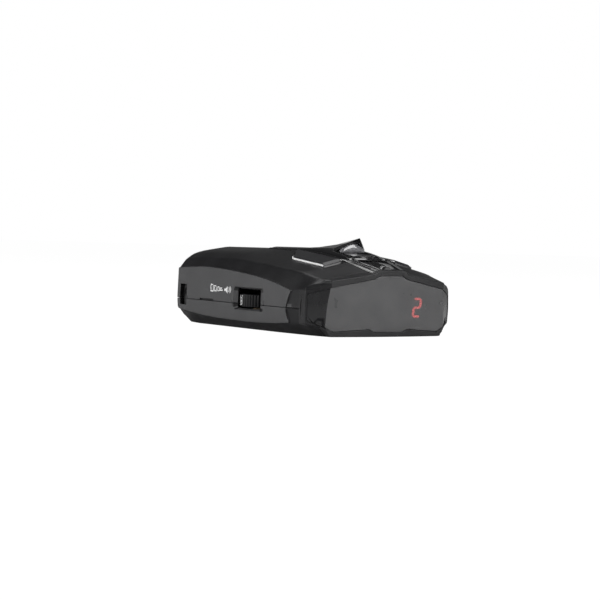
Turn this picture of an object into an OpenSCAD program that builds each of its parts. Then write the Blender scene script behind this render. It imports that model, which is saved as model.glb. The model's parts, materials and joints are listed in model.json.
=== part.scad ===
// Dashboard and mirror-mount radar detector, as an assembly of separate pieces.
// Millimetres. +Z is up, the display faces -Y (the driver), the windshield end is +Y.
// The origin is the centre of the box's bottom face.

/* [Body] */
// Length from the crown of the display face to the windshield end
body_length = 108; // [107:0.5:109]
// Half width at the widest point of the side panels
body_half = 37; // [36.5:0.1:37.5]
// Wall thickness of the shells
wall = 2; // [1.8:0.1:2.2]
// Height of the parting line between the two housings
seam_z = 10.7; // [10.4:0.1:11]
// Radius of the convex display face, seen from above
face_radius = 216; // [200:1:240]
// Forward lean of the display face, in degrees
face_tilt = 3.2; // [2.5:0.1:4]

/* [Display] */
// Depth of the window's face below the bezel
window_inset = 0.3; // [0.2:0.05:0.4]
// Thickness of the smoked window
window_thick = 1.5; // [1.3:0.1:1.6]
// Height of the display digit
digit_h = 6.8; // [6:0.1:8]
// Distance of the digit from the centre line
digit_x = 16.5; // [12:0.5:17]

/* [Buttons] */
// How far a button moves when it is pressed
button_travel = 0.5; // [0.3:0.05:0.5]
// How far a button stands proud of the deck
button_rise = 0.9; // [0.7:0.1:1.1]
// Gap all round a button
button_gap = 0.25; // [0.2:0.05:0.3]

/* [Volume wheel] */
// Radius of the thumbwheel
wheel_r = 11; // [10.6:0.1:11]
// Height of the thumbwheel
wheel_h = 5.2; // [4.8:0.1:5.4]
// Number of finger ridges round the whole rim
ridge_count = 48; // [40:1:60]

/* [Power jack] */
// Radius of the barrel that takes the plug
jack_bore_r = 1.8; // [1.7:0.05:1.9]
// Radius of the centre pin
jack_pin_r = 0.65; // [0.6:0.05:0.7]
// Height of the jack's axis above the bottom face
jack_z = 13.8; // [13.6:0.1:14]

/* [Bracket slot] */
// Width of the slot that takes the windshield or mirror bracket
slot_w = 22; // [20:0.5:23]
// Height of the slot
slot_h = 2.8; // [2.6:0.1:2.9]
// Depth of the slot from the windshield end
slot_d = 16; // [14:0.5:17]

/* [Speaker] */
// Radius of the speaker frame
speaker_r = 14; // [13:0.25:14]

/* [Hidden] */

front_y = -body_length / 2;
rear_y = body_length / 2;
big = 200;                  // larger than the object, for cutting slabs

// ---------------------------------------------------------------- body curves
// Each curve is read at a distance along the body, from -54 at the display to 54.
function bottom_half(y) =
    lookup(y, [[-56, 26.6], [-52, 27.6], [-42, 30], [-20, 31.5], [42, 31.5], [50, 29.8], [54, 29]]);
function panel_half(y) = body_half - lookup(y,
    [[-56, 13.4], [-52, 8.6], [-45.6, 0.3], [-36, 0.1], [8, 0], [44, 0.2], [52, 0.4], [54, 1.6]]);
function panel_low(y) = lookup(y,
    [[-56, 1.6], [-52, 2.2], [-45.6, 5], [-36, 4.4], [-8, 3.4],
     [20, 3.7], [42, 4.8], [50, 6], [54, 7]]);
function panel_high(y) = lookup(y,
    [[-56, 20], [-52, 20.2], [-48, 20.7], [-45.6, 19.2], [-41, 18.4], [-36, 17.8],
     [-22, 21], [-7, 22.9], [8, 24.2], [28, 25.1], [54, 24]]);
function shoulder_half(y) =
    lookup(y, [[-56, 27.4], [-52, 28.8], [-42, 31.2], [-36, 32.4], [-20, 33], [50, 33], [54, 31.5]]);
function shoulder_z(y) = lookup(y,
    [[-56, 21.3], [-52, 21.9], [-42, 23.7], [-36, 25], [-22, 26.4],
     [-8, 27.7], [14, 28.9], [38, 28.7], [54, 27.6]]);
function spine_half(y) = lookup(y, [[-56, 8.8], [-52, 9.2], [-36, 12], [-10, 13], [54, 13]]);
function spine_base_z(y) = lookup(y,
    [[-56, 24.4], [-52, 25.2], [-38, 29.3], [-10, 32.5], [6, 33.5], [48, 33.8], [54, 33.2]]);
function crest_half(y) = lookup(y, [[-56, 5.9], [-52, 6.5], [-38.5, 9], [54, 9]]);
function crest_z(y) = lookup(y,
    [[-56, 26], [-54, 26.5], [-38.5, 30.7], [-24, 33.7], [-13, 34.6], [54, 34.6]]);

// The deck bows up between the shoulder crease and the spine, more so to the rear.
deck_share = 0.27;
function deck_bow(y) = lookup(y, [[-52, 0], [-10, 0.4], [20, 1.7], [54, 1.9]]);
function deck_half(y) = shoulder_half(y) + deck_share * (spine_half(y) - shoulder_half(y));
function deck_z(y) = shoulder_z(y) + deck_share * (spine_base_z(y) - shoulder_z(y)) + deck_bow(y);

// Right half of a cross-section, from the bottom edge up to the spine, shrunk by t.
function half_section(y, t) = [
    [bottom_half(y) - 0.4 * t, t],
    [panel_half(y) - t, panel_low(y) + 0.4 * t],
    [panel_half(y) - t, panel_high(y) - 0.3 * t],
    [shoulder_half(y) - 0.8 * t, shoulder_z(y) - 0.8 * t],
    [deck_half(y) - 0.4 * t, deck_z(y) - t],
    [spine_half(y), spine_base_z(y) - t]
];
// The raised spine on top of it, with its base lifted clear of the roof or sunk into it.
function crest_section(y, lift) = [
    [spine_half(y), spine_base_z(y) + lift],
    [crest_half(y), crest_z(y)]
];
function mirrored(half) = [for (i = [len(half) - 1:-1:0]) [-half[i][0], half[i][1]]];

// Skin over a stack of cross-sections. rings holds one list of [x, z] points for each y.
module loft(ys, rings) {
    n = len(rings[0]);
    last = len(ys) - 1;
    points = [for (i = [0:last]) for (p = rings[i]) [p[0], ys[i], p[1]]];
    side = [for (i = [0:last - 1]) for (j = [0:n - 1])
        [i * n + j, i * n + (j + 1) % n, (i + 1) * n + (j + 1) % n, (i + 1) * n + j]];
    front_cap = [for (j = [n - 1:-1:0]) j];
    rear_cap = [for (j = [0:n - 1]) last * n + j];
    polyhedron(points, concat(side, [front_cap, rear_cap]), convexity = 6);
}

// Places along the body where a cross-section is set.
stations = [-56, -52, -48, -45.6, -41, -38.5, -36, -24, -13, -8, 8, 28, 42, 50, 54];

module body_skin(t) {
    ys = [for (y = stations) min(y, rear_y - t)];
    loft(ys, [for (y = ys) concat(half_section(y, t), mirrored(half_section(y, t)))]);
}

module crest_skin(from_y, to_y, lift) {
    inner = [for (y = stations) if (y > from_y && y < to_y) y];
    ys = concat([from_y], inner, [to_y]);
    loft(ys, [for (y = ys) concat(crest_section(y, lift), mirrored(crest_section(y, lift)))]);
}

// Everything behind the convex display face, moved back by t.
crown_z = 26.5;
module behind_face(t) {
    shift = face_radius / cos(face_tilt) - face_radius;
    translate([0, front_y + face_radius + shift + t, crown_z]) rotate([face_tilt, 0, 0])
        cylinder(r = face_radius, h = 120, center = true, $fn = 360);
}

// The windshield end leans in below the side panels and at the top edge.
module rear_trim_planes(t) {
    translate([-big / 2, 51 - t, 0]) rotate([-23, 0, 0]) translate([0, 0, -20]) cube([big, 20, 27.6]);
    translate([-big / 2, rear_y - 1.2 - t, 34]) rotate([45, 0, 0]) cube([big, 10, 10]);
}

module slab_y(y0, y1) {
    translate([-big / 2, y0, -big / 2]) cube([big, y1 - y0, big]);
}

module slab_z(z0, z1) {
    translate([-big / 2, -big / 2, z0]) cube([big, big, z1 - z0]);
}

// ---------------------------------------------------------------- shared places
nose_back = -49;            // the housings start here, the bezel is in front
trim_front = -52.4;         // the spine trim starts just behind the bezel's rim
trim_rear = 16;
cheek_back = -41.8;         // the bezel's cheeks wrap this far round the corners
cheek_low = 4.4;
cheek_high = 18.4;

housing_screw_xy = [[-26.5, -42.5], [26.5, -42.5], [-25.5, 33], [25.5, 33]];
board_screw_xy = [[-10, -9], [27, -9], [-18, 48.5], [30, 41]];
button_screw_xy = [[-26.4, -33], [26.4, -33], [-26.4, -14], [26.4, -14]];
horn_screw_xy = [[-11, 20.2], [11, 20.2]];

board_z = 6;
board_top = 7.6;
button_board_z = 20;
button_board_top = 21.2;
display_board_y = -47.6;
rotor_x = -body_half + 0.2 + wheel_r;
rotor_y = -2.9;
wheel_z = 9.4;
jack_y = 46.8;
jack_face_x = -body_half + wall + 0.6;
jack_mouth_r = jack_bore_r + 0.4;
slot_z = 30;
speaker_y = -29;
speaker_z = 2.6;

// ---------------------------------------------------------------- outer shells
// Window outline seen from the driver's side; its ends are the wings on the cheeks.
function window_half() = [
    [6.9, 1.95], [9.5, 3.1], [26.1, 2.05], [35.7, 6.2], [35.7, 16.6], [27.8, 19.3], [8.5, 22.85], [5.3, 24.3]
];

module window_outline(grow) {
    offset(delta = grow) polygon(concat(window_half(), mirrored(window_half())));
}

module along_y(y0, y1) {
    translate([0, y1, 0]) rotate([90, 0, 0]) linear_extrude(y1 - y0) children();
}

module nose(t) {
    intersection() {
        union() {
            body_skin(t);
            if (t == 0) crest_skin(-56, trim_front, -0.5);
        }
        behind_face(t);
    }
}

module wheel_opening() {
    mid_y = -4.4;
    mid_z = 12.8;
    opening_w = 17;
    opening_h = 8.2;
    hull() {
        translate([-body_half, mid_y - 1.2, mid_z])
            cube([0.4, opening_w + 5.4, opening_h + 1.4], center = true);
        translate([-body_half + 1.6, mid_y, mid_z]) cube([0.4, opening_w, opening_h], center = true);
    }
    translate([-body_half + 2, mid_y, mid_z]) cube([4, opening_w, opening_h], center = true);
    translate([rotor_x, rotor_y, wheel_z - 0.5]) cylinder(r = wheel_r + 0.4, h = wheel_h + 1, $fn = 96);
}

module jack_opening() {
    translate([-body_half - 1, jack_y - 2.8, 8]) cube([wall + 3, 5.6, 9]);
}

// Slot on the parting line of the control side, for prying the housings apart.
module pry_slot() {
    translate([-body_half - 1, 21.6, seam_z]) cube([1.9, 11, 0.8]);
}

module lens_opening() {
    translate([lens_x - lens_w / 2, 50, lens_z - lens_h / 2]) cube([lens_w, 10, lens_h]);
}

module label_recess() {
    translate([-20, 4, -1]) cube([40, 24, 1.3]);
}

module speaker_slots() {
    for (i = [-4:4]) {
        half = sqrt(pow(speaker_r - 3, 2) - pow(i * 2.5, 2));
        translate([i * 2.5 - 0.6, speaker_y - half, -1]) cube([1.2, 2 * half, 6]);
    }
}

module cheek_region() {
    for (s = [-1, 1])
        translate([s * 32 - 8, -60, cheek_low]) cube([16, 60 + cheek_back, cheek_high - cheek_low]);
}

// A part of the hollow body between two heights, with its openings, as one skin of flat facets.
module shell_part(low, high) {
    resize([0, 0, 0]) difference() {
        intersection() {
            body_skin(0);
            slab_z(low, high);
        }
        difference() {
            body_skin(wall);
            bracket_block();
        }
        rear_trim_planes(0);
        slab_y(-60, nose_back);
        cheek_region();
        wheel_opening();
        jack_opening();
        pry_slot();
        bracket_slot();
        button_holes();
        lens_opening();
        label_recess();
        speaker_slots();
    }
}

// Height of the outer skin above a point of the plan.
function roof_z(x, y) = lookup(abs(x), [
    [spine_half(y), spine_base_z(y)], [deck_half(y), deck_z(y)],
    [shoulder_half(y), shoulder_z(y)], [panel_half(y), panel_high(y)]]);

// A round post that hangs from the roof and ends inside its thickness.
module roof_post(p, low, r) {
    translate([p[0], p[1], low]) cylinder(r = r, h = roof_z(p[0], p[1]) - 1.2 - low, $fn = 48);
}

module bracket_block() {
    translate([-slot_w / 2 - 2.5, rear_y - slot_d - 2, slot_z - 1.6]) cube([slot_w + 5, slot_d + 3, 10]);
}

// Plan outline of the left button. Its rear edge slants back towards the spine.
button_plan = [[-22.6, -38], [-13.4, -38], [-13.4, -5.5], [-22.6, -15.8]];
module button_outline(grow) {
    offset(delta = grow) polygon(button_plan);
}

// Slab between two depths below the sloping deck around the left button.
function deck_plane_z(x, y) = 27.1 + 0.245 * (22.5 + x) + 0.11 * (y + 38);
module deck_slab(low, high) {
    corner = [[-30, -45], [-8, -45], [-8, 0], [-30, 0]];
    bottom = [for (c = corner) [c[0], c[1], deck_plane_z(c[0], c[1]) + low]];
    top = [for (c = corner) [c[0], c[1], deck_plane_z(c[0], c[1]) + high]];
    polyhedron(concat(bottom, top),
        [[0, 1, 2, 3], [7, 6, 5, 4], [1, 0, 4, 5], [2, 1, 5, 6], [3, 2, 6, 7], [0, 3, 7, 4]]);
}

module button_holes() {
    for (m = [0, 1]) mirror([m, 0, 0])
        translate([0, 0, 20]) linear_extrude(20) button_outline(button_gap);
}

module bracket_slot() {
    translate([-slot_w / 2, rear_y - slot_d, slot_z]) cube([slot_w, slot_d + 2, slot_h]);
    // catch window for the bracket's latch
    translate([-3, rear_y - 6, slot_z]) cube([6, 3, 8]);
}

lens_x = 21.5;
lens_z = 16.4;
lens_w = 15;
lens_h = 8;

module top_housing() color([0.16, 0.165, 0.175]) {
    difference() {
        union() {
            shell_part(seam_z, 60);
            for (p = housing_screw_xy) roof_post(p, seam_z, 3);
            for (p = button_screw_xy) roof_post(p, button_board_top, 2.2);
        }
        for (p = housing_screw_xy) translate([p[0], p[1], seam_z - 1]) cylinder(r = 1, h = 9.3, $fn = 32);
        for (p = button_screw_xy) translate([p[0], p[1], 19]) cylinder(r = 0.8, h = 4.6, $fn = 32);
        translate([0, -20, 28]) cylinder(r = 2.6, h = 10, $fn = 48);
    }
}

module bottom_housing() color([0.14, 0.145, 0.15]) {
    difference() {
        union() {
            shell_part(-1, seam_z);
            for (p = housing_screw_xy) translate([p[0], p[1], 1]) cylinder(r = 3.4, h = seam_z - 1, $fn = 48);
            for (p = board_screw_xy) translate([p[0], p[1], 1]) cylinder(r = 2.4, h = board_z - 1, $fn = 48);
            translate([0, speaker_y, wall - 0.5]) difference() {
                cylinder(r = speaker_r + 1.4, h = 2.9, $fn = 96);
                translate([0, 0, -1]) cylinder(r = speaker_r + 0.2, h = 5, $fn = 96);
            }
        }
        for (p = housing_screw_xy) translate([p[0], p[1], -1]) {
            cylinder(r = 2.4, h = 4.2, $fn = 48);
            cylinder(r = 1.2, h = 20, $fn = 32);
        }
        for (p = board_screw_xy) translate([p[0], p[1], 2.6]) cylinder(r = 0.8, h = 8, $fn = 32);
    }
}

module display_bezel() color([0.09, 0.09, 0.095]) {
    difference() {
        intersection() {
            nose(0);
            union() {
                slab_y(-60, nose_back);
                cheek_region();
            }
        }
        difference() {
            nose(wall);
            slab_y(-60, front_y + wall + 1);
        }
        // recess that takes the window
        difference() {
            along_y(-60, cheek_back - 2.2) window_outline(0.1);
            nose(window_inset + window_thick);
        }
        // light opening behind the window
        along_y(-60, -48) polygon([[-24, 4.6], [24, 4.6], [24, 17.6], [-24, 17.6]]);
    }
}

module display_window() color([0.25, 0.26, 0.28, 0.8]) {
    difference() {
        intersection() {
            nose(window_inset);
            along_y(-60, cheek_back - 2.3) window_outline(0);
        }
        nose(window_inset + window_thick);
    }
}

// Plan outline and ridge of the hood over the rearward laser eye.
hood_peak = [0, -31.6, 39.2];
hood_foot = [8, -24.4];
hood_tail = [8.6, -9];
hood_base_z = 33;

module hood_form() {
    hull() polyhedron([
        [-hood_foot[0], hood_foot[1], hood_base_z], [hood_foot[0], hood_foot[1], hood_base_z],
        [-hood_foot[0], hood_foot[1], 34.5], [hood_foot[0], hood_foot[1], 34.5],
        [-hood_tail[0], hood_tail[1], hood_base_z], [hood_tail[0], hood_tail[1], hood_base_z],
        [-hood_tail[0], hood_tail[1], 34.7], [hood_tail[0], hood_tail[1], 34.7],
        [0, hood_tail[1], 35], hood_peak],
        [[0, 1, 3], [0, 3, 2], [4, 6, 5], [5, 6, 7], [6, 8, 7], [2, 3, 9], [0, 2, 4], [2, 6, 4],
         [1, 5, 3], [3, 5, 7], [2, 9, 6], [6, 9, 8], [3, 7, 9], [7, 8, 9], [0, 4, 1], [1, 4, 5]]);
}

module hood_throat(grow) {
    along_y(-36, -25.6)
        polygon([[-6 - grow, 33 - grow], [6 + grow, 33 - grow], [3.6 + grow, 36], [1.4, 37.1 + grow],
                 [-1.4, 37.1 + grow], [-3.6 - grow, 36]]);
}

module spine_trim() color([0.03, 0.03, 0.035]) {
    difference() {
        resize([0, 0, 0]) difference() {
            crest_skin(trim_front, trim_rear, 0.02);
            hood_form();
            hood_throat(0.02);
        }
        translate([0, -20, 20]) cylinder(r = 2.6, h = 20, $fn = 48);
    }
}

module laser_hood() color([0.05, 0.05, 0.055]) {
    difference() {
        hood_form();
        hood_throat(0);
        // room for the sensor, under a roof thick enough to mould
        translate([0, -20, 30]) cylinder(r = 2.6, h = 5.7, $fn = 48);
        // sight line from the lens back to the sensor
        translate([-2, -26, 33.6]) cube([4, 6, 2.4]);
    }
}

module hood_lens() color([0.30, 0.03, 0.05]) {
    intersection() {
        hood_throat(-0.02);
        slab_y(-26.8, -25.62);
    }
}

module windshield_lens() color([0.25, 0.02, 0.04]) {
    translate([lens_x - lens_w / 2 + 0.1, rear_y - wall, lens_z - lens_h / 2 + 0.1])
        cube([lens_w - 0.2, wall - 0.1, lens_h - 0.2]);
    translate([lens_x - lens_w / 2 - 1, rear_y - wall - 1, lens_z - lens_h / 2 - 1])
        cube([lens_w + 2, 1, lens_h + 2]);
}

// ---------------------------------------------------------------- buttons
stem_xy = [-17.8, -26];
stem_foot = 24.2;

module button_form() {
    flange_top = -wall - 1.2;
    intersection() {
        deck_slab(flange_top - 0.4, button_rise);
        translate([0, 0, 15]) linear_extrude(30) button_outline(0);
    }
    intersection() {
        deck_slab(flange_top - 1, flange_top);
        translate([0, 0, 15]) linear_extrude(30) button_outline(1);
    }
    translate([stem_xy[0], stem_xy[1], stem_foot]) cylinder(r = 1.8, h = 2.8, $fn = 48);
}

module switch_form() {
    base_h = 2.2;
    difference() {
        translate([stem_xy[0] - 3, stem_xy[1] - 3, button_board_top]) cube([6, 6, base_h]);
        translate([stem_xy[0], stem_xy[1], button_board_top + 0.3]) cylinder(r = 1.65, h = 5, $fn = 48);
    }
}

module plunger_form() {
    translate([stem_xy[0], stem_xy[1], stem_foot - 2]) cylinder(r = 1.6, h = 2, $fn = 48);
}

module left_button() color([0.12, 0.12, 0.13]) button_form();
module right_button() color([0.12, 0.12, 0.13]) mirror([1, 0, 0]) button_form();
module left_plunger() color([0.75, 0.74, 0.70]) plunger_form();
module right_plunger() color([0.75, 0.74, 0.70]) mirror([1, 0, 0]) plunger_form();
module left_switch() color([0.10, 0.10, 0.10]) switch_form();
module right_switch() color([0.10, 0.10, 0.10]) mirror([1, 0, 0]) switch_form();

module button_board() color([0.05, 0.32, 0.14]) {
    translate([0, 0, button_board_z]) linear_extrude(button_board_top - button_board_z) difference() {
        polygon([[-28.5, -37], [28.5, -37], [28.5, -11], [-28.5, -11]]);
        for (p = button_screw_xy) translate(p) circle(r = 0.9, $fn = 32);
    }
}

module button_board_screws() color([0.7, 0.7, 0.72]) {
    for (p = button_screw_xy) translate([p[0], p[1], 0]) {
        translate([0, 0, button_board_z - 1.2]) cylinder(r = 1.8, h = 1.2, $fn = 32);
        translate([0, 0, button_board_z]) cylinder(r = 0.8, h = 3.4, $fn = 32);
    }
}

// ---------------------------------------------------------------- main board
module main_board() color([0.05, 0.32, 0.14]) {
    translate([0, 0, board_z]) linear_extrude(board_top - board_z) difference() {
        polygon([[-33, -13], [33, -13], [33, 46], [29, 50.5], [-29, 50.5], [-33, 46]]);
        for (p = board_screw_xy) translate(p) circle(r = 0.9, $fn = 32);
        for (p = housing_screw_xy) if (p[1] > 0) translate(p) circle(r = 4, $fn = 48);
    }
}

module main_board_screws() color([0.7, 0.7, 0.72]) {
    for (p = board_screw_xy) translate([p[0], p[1], 0]) {
        translate([0, 0, board_top]) cylinder(r = 1.8, h = 1.2, $fn = 32);
        translate([0, 0, 3]) cylinder(r = 0.8, h = board_top - 3, $fn = 32);
    }
}

module chip(x, y, w, d, h) {
    translate([x - w / 2, y - d / 2, board_top]) cube([w, d, h]);
}

module board_chips() color([0.06, 0.06, 0.065]) {
    chip(4, -2, 10, 10, 1.4);
    chip(19, 3, 8, 8, 1.2);
    chip(5, 12, 5, 6, 1.5);
    chip(16, 14, 6, 5, 1.5);
    chip(-22, 24, 6, 9, 2.2);
    chip(-19, 38, 7, 6, 3);
}

module power_capacitors() color([0.75, 0.75, 0.77]) {
    for (p = [[28, 12], [28, 20], [-29.2, 21]])
        translate([p[0], p[1], board_top]) cylinder(r = 3, h = 7, $fn = 48);
}

module crystal_can() color([0.8, 0.8, 0.8]) {
    translate([-9, 5, board_top]) {
        cylinder(r = 1.8, h = 3.4, $fn = 32);
        translate([4.6, 0, 0]) cylinder(r = 1.8, h = 3.4, $fn = 32);
        translate([0, -1.8, 0]) cube([4.6, 3.6, 3.4]);
    }
}

// ---------------------------------------------------------------- display
module display_board() color([0.05, 0.32, 0.14]) {
    translate([-25, display_board_y, 4]) cube([50, 1.2, 14.5]);
}

// The digit's housing, shallow enough to clear the window where its face curves back.
digit_deep = 1.9;

module digit_module() color([0.10, 0.10, 0.11]) {
    translate([digit_x - 4.4, display_board_y - digit_deep, 5.4]) cube([8.8, digit_deep, 12.4]);
}

// Seven-segment bars as [x, z, is_upright] in digit heights; the lit ones show the number 2.
lit_bars = [[0, 0.54, false], [0.25, 0.27, true], [0, 0, false], [-0.25, -0.27, true], [0, -0.54, false]];
digit_lean = 0.1;

module segment_bar() {
    long = 0.21 * digit_h;
    thin = 0.065 * digit_h;
    polygon([[-thin, -long], [0, -long - thin], [thin, -long],
             [thin, long], [0, long + thin], [-thin, long]]);
}

module digit_segments() color([1.0, 0.12, 0.10]) {
    translate([digit_x, display_board_y - digit_deep, 11.6]) rotate([90, 0, 0]) linear_extrude(0.25)
        for (bar = lit_bars)
            translate([digit_h * (bar[0] + digit_lean * bar[1]), digit_h * bar[1]])
                multmatrix([[1, digit_lean, 0, 0], [0, 1, 0, 0], [0, 0, 1, 0], [0, 0, 0, 1]])
                    rotate(bar[2] ? 0 : 90) scale(bar[2] ? 1 : 0.9) segment_bar();
}

module status_leds() color([0.85, 0.80, 0.75]) {
    for (i = [0:3]) translate([-18 + 5 * i, display_board_y - 1.2, 11]) cube([2, 1.2, 1.6]);
}

// ---------------------------------------------------------------- volume control
module volume_wheel() color([0.04, 0.04, 0.045]) {
    smooth_from = 138;
    smooth_to = 172;
    difference() {
        translate([rotor_x, rotor_y, wheel_z]) cylinder(r = wheel_r, h = wheel_h, $fn = 120);
        translate([rotor_x, rotor_y, wheel_z - 1]) cylinder(r = 1.5, h = wheel_h + 2, $fn = 48);
        for (i = [0:ridge_count - 1]) {
            turn = i * 360 / ridge_count;
            if (turn < smooth_from || turn > smooth_to)
                translate([rotor_x, rotor_y, wheel_z - 1]) rotate(turn)
                    translate([wheel_r, 0, 0]) rotate(45) cube([0.7, 0.7, 2 * wheel_h + 4], center = true);
        }
        translate([rotor_x, rotor_y, wheel_z + wheel_h - 0.8]) difference() {
            cylinder(r = wheel_r - 2, h = 2, $fn = 96);
            translate([0, 0, -1]) cylinder(r = 3, h = 4, $fn = 48);
        }
    }
}

module wheel_shaft() color([0.8, 0.8, 0.78]) {
    foot = board_top + 0.3;
    translate([rotor_x, rotor_y, foot]) cylinder(r = 1.5, h = wheel_z + wheel_h - foot, $fn = 48);
}

module volume_control() color([0.55, 0.50, 0.40]) {
    difference() {
        translate([rotor_x, rotor_y, board_top]) cylinder(r = 5.5, h = 1.5, $fn = 64);
        translate([rotor_x, rotor_y, board_top + 0.3]) cylinder(r = 1.55, h = 3, $fn = 48);
    }
}

// ---------------------------------------------------------------- power jack
jack_w = 5.4;
jack_len = 12;
module jack_bore(r, from_x, length) {
    translate([from_x, jack_y, jack_z]) rotate([0, 90, 0]) cylinder(r = r, h = length, $fn = 64);
}

module dc_jack() color([0.07, 0.07, 0.07]) {
    difference() {
        translate([jack_face_x, jack_y - jack_w / 2, board_top]) cube([jack_len, jack_w, 9.2]);
        jack_bore(jack_mouth_r, jack_face_x - 1, 3.4);
        jack_bore(jack_bore_r, jack_face_x, 9.6);
        jack_bore(jack_pin_r, jack_face_x + 9, 2);
        translate([jack_face_x + 4.2, jack_y - 0.6, jack_z - 3.2]) cube([4, 1.2, 3.2]);
    }
}

module jack_pin() color([0.85, 0.83, 0.78]) {
    jack_bore(jack_pin_r, jack_face_x + 2.6, 8.4);
}

module jack_spring() color([0.80, 0.65, 0.30]) {
    translate([jack_face_x + 4.4, jack_y - 0.5, jack_z - 3.2]) cube([3.6, 1, 1.3]);
}

// ---------------------------------------------------------------- microwave and laser parts
horn_y0 = 18;
horn_y1 = 50;
horn_w = 28;
horn_top = 23;

module horn_antenna() color([0.72, 0.72, 0.74]) {
    difference() {
        translate([-horn_w / 2, horn_y0, board_top]) cube([horn_w, horn_y1 - horn_y0, horn_top - board_top]);
        hull() {
            translate([-12, horn_y1, 9.3]) cube([24, 1, 12]);
            translate([-5, horn_y1 - 18, 12.5]) cube([10, 1, 5.5]);
        }
        translate([-5, horn_y0 + 4, 12.5]) cube([10, 12, 5.5]);
        for (p = horn_screw_xy) translate([p[0], p[1], horn_top - 6]) cylinder(r = 0.8, h = 7, $fn = 32);
    }
}

module rf_board() color([0.06, 0.28, 0.30]) {
    translate([0, 0, horn_top]) linear_extrude(1) difference() {
        polygon([[-13.5, 18.2], [13.5, 18.2], [13.5, 46], [-13.5, 46]]);
        for (p = horn_screw_xy) translate(p) circle(r = 0.9, $fn = 32);
    }
}

module horn_screws() color([0.7, 0.7, 0.72]) {
    for (p = horn_screw_xy) translate([p[0], p[1], 0]) {
        translate([0, 0, horn_top + 1]) cylinder(r = 1.7, h = 1.1, $fn = 32);
        translate([0, 0, horn_top - 4]) cylinder(r = 0.8, h = 5, $fn = 32);
    }
}

module rf_shield() color([0.80, 0.80, 0.80]) {
    difference() {
        translate([-11, 24, horn_top + 1]) cube([22, 18, 3.2]);
        translate([-10.6, 24.4, horn_top]) cube([21.2, 17.2, 3.8]);
    }
}

module windshield_laser_sensor() color([0.15, 0.05, 0.06]) {
    translate([lens_x - 6, 46.2, board_top]) cube([12, 1.2, 12.4]);
    translate([lens_x, 47.4, lens_z]) rotate([-90, 0, 0]) cylinder(r = 2.5, h = 3, $fn = 48);
}

module hood_laser_sensor() color([0.15, 0.05, 0.06]) {
    translate([0, -20, button_board_top]) cylinder(r = 2.5, h = 12.6, $fn = 48);
    translate([0, -20, button_board_top + 12.6]) cylinder(r = 1.8, h = 1.6, $fn = 48);
}

// ---------------------------------------------------------------- speaker
module speaker_frame() color([0.35, 0.36, 0.38]) {
    translate([0, speaker_y, speaker_z]) rotate_extrude($fn = 96)
        polygon([[speaker_r, 0], [speaker_r, 1.2], [speaker_r - 1.8, 1.2], [9, 4.4], [8, 4.4],
                 [8, 3.2], [speaker_r - 3, 0]]);
}

module speaker_magnet() color([0.25, 0.25, 0.27]) {
    translate([0, speaker_y, speaker_z + 4.4]) cylinder(r = 8.6, h = 3.6, $fn = 64);
}

module speaker_cone() color([0.12, 0.10, 0.08]) {
    translate([0, speaker_y, speaker_z]) rotate_extrude($fn = 96)
        polygon([[0, 2.8], [3.4, 2.8], [4.2, 1.6], [speaker_r - 3.02, 0], [speaker_r - 3.3, 0.28],
                 [7.6, 2.6], [5, 3.6], [4.2, 4], [0, 4]]);
}

module speaker_gasket() color([0.2, 0.2, 0.2]) {
    translate([0, speaker_y, wall]) difference() {
        cylinder(r = speaker_r, h = speaker_z - wall, $fn = 96);
        translate([0, 0, -1]) cylinder(r = speaker_r - 2.4, h = 3, $fn = 96);
    }
}

// ---------------------------------------------------------------- wiring and fasteners
// A flat strip that follows a list of [distance, height] points in the YZ plane.
module strip(x, width, thick, path) {
    for (i = [0:len(path) - 2]) {
        a = path[i];
        b = path[i + 1];
        hull() for (p = [a, b]) translate([x - width / 2, p[0], p[1]]) cube([width, thick, thick]);
    }
}

module display_ribbon() color([0.80, 0.78, 0.72]) {
    strip(18.8, 8, 0.3, [[display_board_y + 1.2, 9], [-43, 9], [-40, 11.8], [-14, 11.8], [-9, board_top]]);
}

module button_ribbon() color([0.80, 0.78, 0.72]) {
    strip(10.8, 6, 0.3, [[-12, button_board_z - 0.3], [-8, 18], [7, 12], [9, board_top]]);
}

module wire(x0, y0, z0, x1, y1, z1) {
    run = [x1 - x0, y1 - y0, z1 - z0];
    reach = norm(run);
    translate([x0, y0, z0]) rotate([0, acos(run[2] / reach), atan2(run[1], run[0])])
        cylinder(r = 0.45, h = reach, $fn = 16);
}

module speaker_wires() {
    color([0.6, 0.05, 0.05]) wire(-4, -20.9, 8.6, -4, -10.2, 8.2);
    color([0.05, 0.05, 0.05]) wire(-1.5, -20.4, 8.6, -1.5, -10.2, 8.2);
}

module housing_screws() color([0.25, 0.25, 0.27]) {
    for (p = housing_screw_xy) translate([p[0], p[1], 0]) {
        difference() {
            translate([0, 0, 1.4]) cylinder(r = 2.2, h = 1.8, $fn = 48);
            for (turn = [0, 90]) rotate(turn) translate([-1.4, -0.25, 1.2]) cube([2.8, 0.5, 1]);
        }
        translate([0, 0, 3.2]) cylinder(r = 1, h = 15.8, $fn = 32);
    }
}

module rating_plate() color([0.75, 0.75, 0.77]) {
    translate([-20, 4, 0]) cube([40, 24, 0.3]);
}

top_housing();
bottom_housing();
display_bezel();
display_window();
spine_trim();
laser_hood();
hood_lens();
windshield_lens();
left_button();
right_button();
left_plunger();
right_plunger();
left_switch();
right_switch();
button_board();
button_board_screws();
main_board();
main_board_screws();
display_board();
digit_module();
digit_segments();
status_leds();
volume_wheel();
wheel_shaft();
volume_control();
dc_jack();
jack_pin();
jack_spring();
horn_antenna();
horn_screws();
rf_board();
rf_shield();
windshield_laser_sensor();
hood_laser_sensor();
speaker_frame();
speaker_magnet();
speaker_cone();
speaker_gasket();
board_chips();
power_capacitors();
crystal_can();
display_ribbon();
button_ribbon();
speaker_wires();
housing_screws();
rating_plate();
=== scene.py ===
import json
import math

import bmesh
import bpy
from mathutils import Matrix, Vector


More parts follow.
